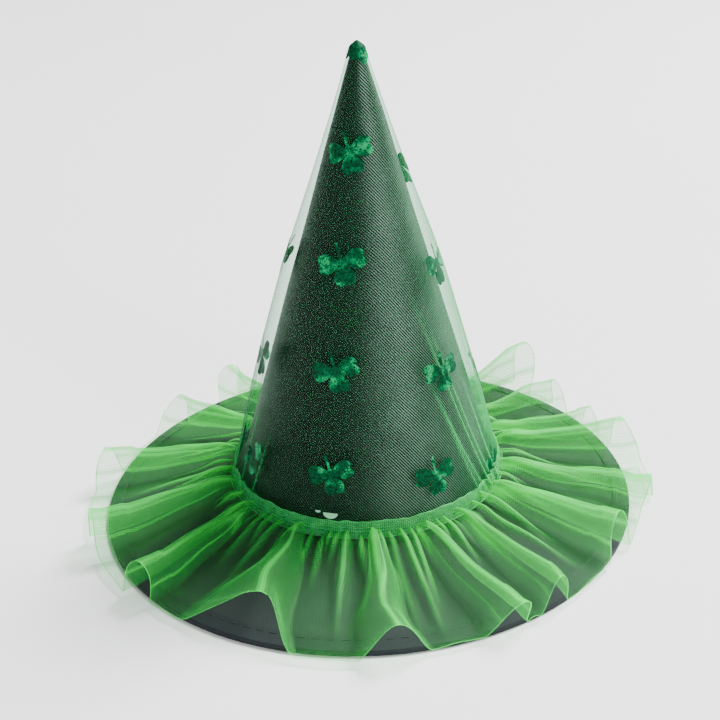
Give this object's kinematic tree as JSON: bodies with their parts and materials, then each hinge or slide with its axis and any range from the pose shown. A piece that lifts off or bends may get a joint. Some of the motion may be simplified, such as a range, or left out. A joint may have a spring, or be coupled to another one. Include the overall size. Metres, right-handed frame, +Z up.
{
  "type": "witch hat",
  "caption": "Pointed costume hat: fabric cone with a sheer foil-spotted sleeve on a wide drooping brim, with a gathered organza ruffle over the brim.",
  "frame": {"origin": "on the hat's axis, in the plane that the edge of the brim rests on", "axes": "+Z up along the crown's axis, -Y towards the front, +X to the wearer's left; the seams of crown and overlay are at the back, towards +Y"},
  "size_m": [0.422, 0.422, 0.347],
  "materials": {
    "black_satin": "woven black satin with a soft sheen",
    "stiffener_felt": "pressed nonwoven interlining, matte",
    "black_thread": "twisted sewing thread",
    "green_thread": "twisted sewing thread",
    "green_organza": "sheer crisp organza",
    "ruffle_organza": "sheer crisp organza, bright green",
    "band_organza": "organza folded in several layers",
    "green_foil": "hot-stamped metallic foil, finely glittering",
    "brim_cloth": "plain woven black cloth, matte",
    "binding_cloth": "folded woven strip, matte",
    "spring_wire": "drawn spring wire",
    "ferrule_metal": "crimped sleeve",
    "sweat_ribbon": "ribbed ribbon"
  },
  "bodies": {
    "root": {"crown_fabric": "black_satin", "crown_interlining": "stiffener_felt", "crown_seam_allowance": "black_satin", "crown_seam_stitches": "black_thread", "organza_overlay": "green_organza", "overlay_seam": "green_organza", "overlay_seam_stitches": "green_thread", "foil_clovers": "green_foil", "tip_foil": "green_foil", "header_band": "band_organza", "header_stitches": "green_thread", "gathering_thread": "green_thread", "ruffle": "ruffle_organza", "brim_top_fabric": "brim_cloth", "brim_interlining": "stiffener_felt", "brim_under_fabric": "brim_cloth", "brim_wire": "spring_wire", "wire_ferrule": "ferrule_metal", "brim_binding": "binding_cloth", "binding_stitches": "black_thread", "brim_join_allowance": "brim_cloth", "crown_base_stitches": "black_thread", "sweatband": "sweat_ribbon", "sweatband_stitches": "black_thread"}
  },
  "joints": []
}
